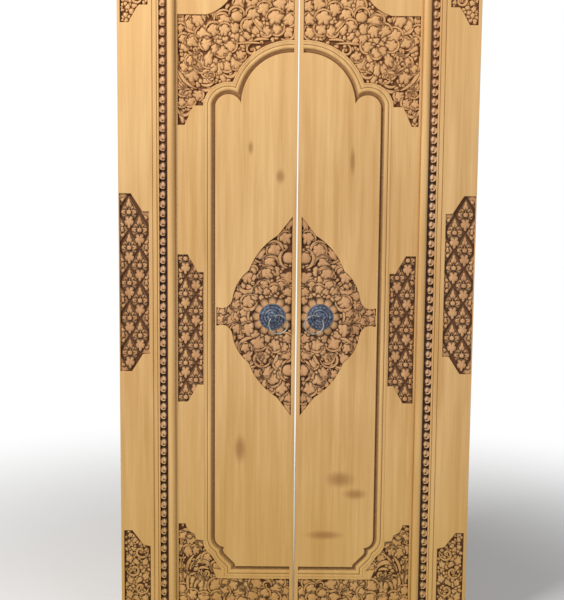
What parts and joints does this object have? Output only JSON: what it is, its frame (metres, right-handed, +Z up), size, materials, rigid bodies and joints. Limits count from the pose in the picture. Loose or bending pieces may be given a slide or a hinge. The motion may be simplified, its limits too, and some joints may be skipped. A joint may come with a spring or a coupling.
{
  "type": "carved double door",
  "caption": "Wooden double door with carved panels, beaded jambs, ring handles and a sliding bolt, in its frame.",
  "frame": {"origin": "on the floor, in the middle of the frame's width and depth", "axes": "+X to the right, -Y out of the carved front, +Z up"},
  "size_m": [1.142, 0.0925, 2.33],
  "materials": {
    "teak": "oiled, carved by hand",
    "leaf_teak": "oiled, carved by hand",
    "bead_teak": "weathered, carved by hand",
    "peg_wood": "planed, unfinished",
    "dark_iron": "dark, weathered",
    "ring_steel": "worn bright"
  },
  "bodies": {
    "frame": {"left_jamb": "teak", "right_jamb": "teak", "head": "teak", "sill": "teak", "frame_pegs": "peg_wood", "left_bead_strip": "bead_teak", "right_bead_strip": "bead_teak"},
    "left_leaf": {"left_leaf": "leaf_teak", "left_rosette": "dark_iron", "left_ring_eye": "dark_iron", "left_eye_washer": "dark_iron", "bolt_outer_keeper": "peg_wood", "bolt_inner_keeper": "peg_wood", "keeper_pegs": "peg_wood"},
    "right_leaf": {"right_leaf": "leaf_teak", "right_rosette": "dark_iron", "right_ring_eye": "dark_iron", "right_eye_washer": "dark_iron", "bolt_catch": "peg_wood", "catch_pegs": "peg_wood"},
    "left_ring": {"left_ring": "ring_steel"},
    "right_ring": {"right_ring": "ring_steel"},
    "bolt": {"bolt_bar": "peg_wood"}
  },
  "joints": [
    {"name": "left_leaf_hinge", "type": "hinge", "parent": "frame", "child": "left_leaf", "pos_m": [-0.386, 0.008, 1.165], "axis": [0, 0, 1], "range_deg": [0, 95]},
    {"name": "right_leaf_hinge", "type": "hinge", "parent": "frame", "child": "right_leaf", "pos_m": [0.386, 0.008, 1.165], "axis": [0, 0, -1], "range_deg": [0, 95]},
    {"name": "left_ring_lift", "type": "hinge", "parent": "left_leaf", "child": "left_ring", "pos_m": [-0.0775, -0.0245, 1.058], "axis": [-0.7547, 0, -0.6561], "range_deg": [0, 150]},
    {"name": "right_ring_lift", "type": "hinge", "parent": "right_leaf", "child": "right_ring", "pos_m": [0.0775, -0.0245, 1.058], "axis": [-0.7547, 0, 0.6561], "range_deg": [0, 150]},
    {"name": "bolt_slide", "type": "slide", "parent": "left_leaf", "child": "bolt", "axis": [1, 0, 0], "range_m": [0, 0.095]}
  ]
}
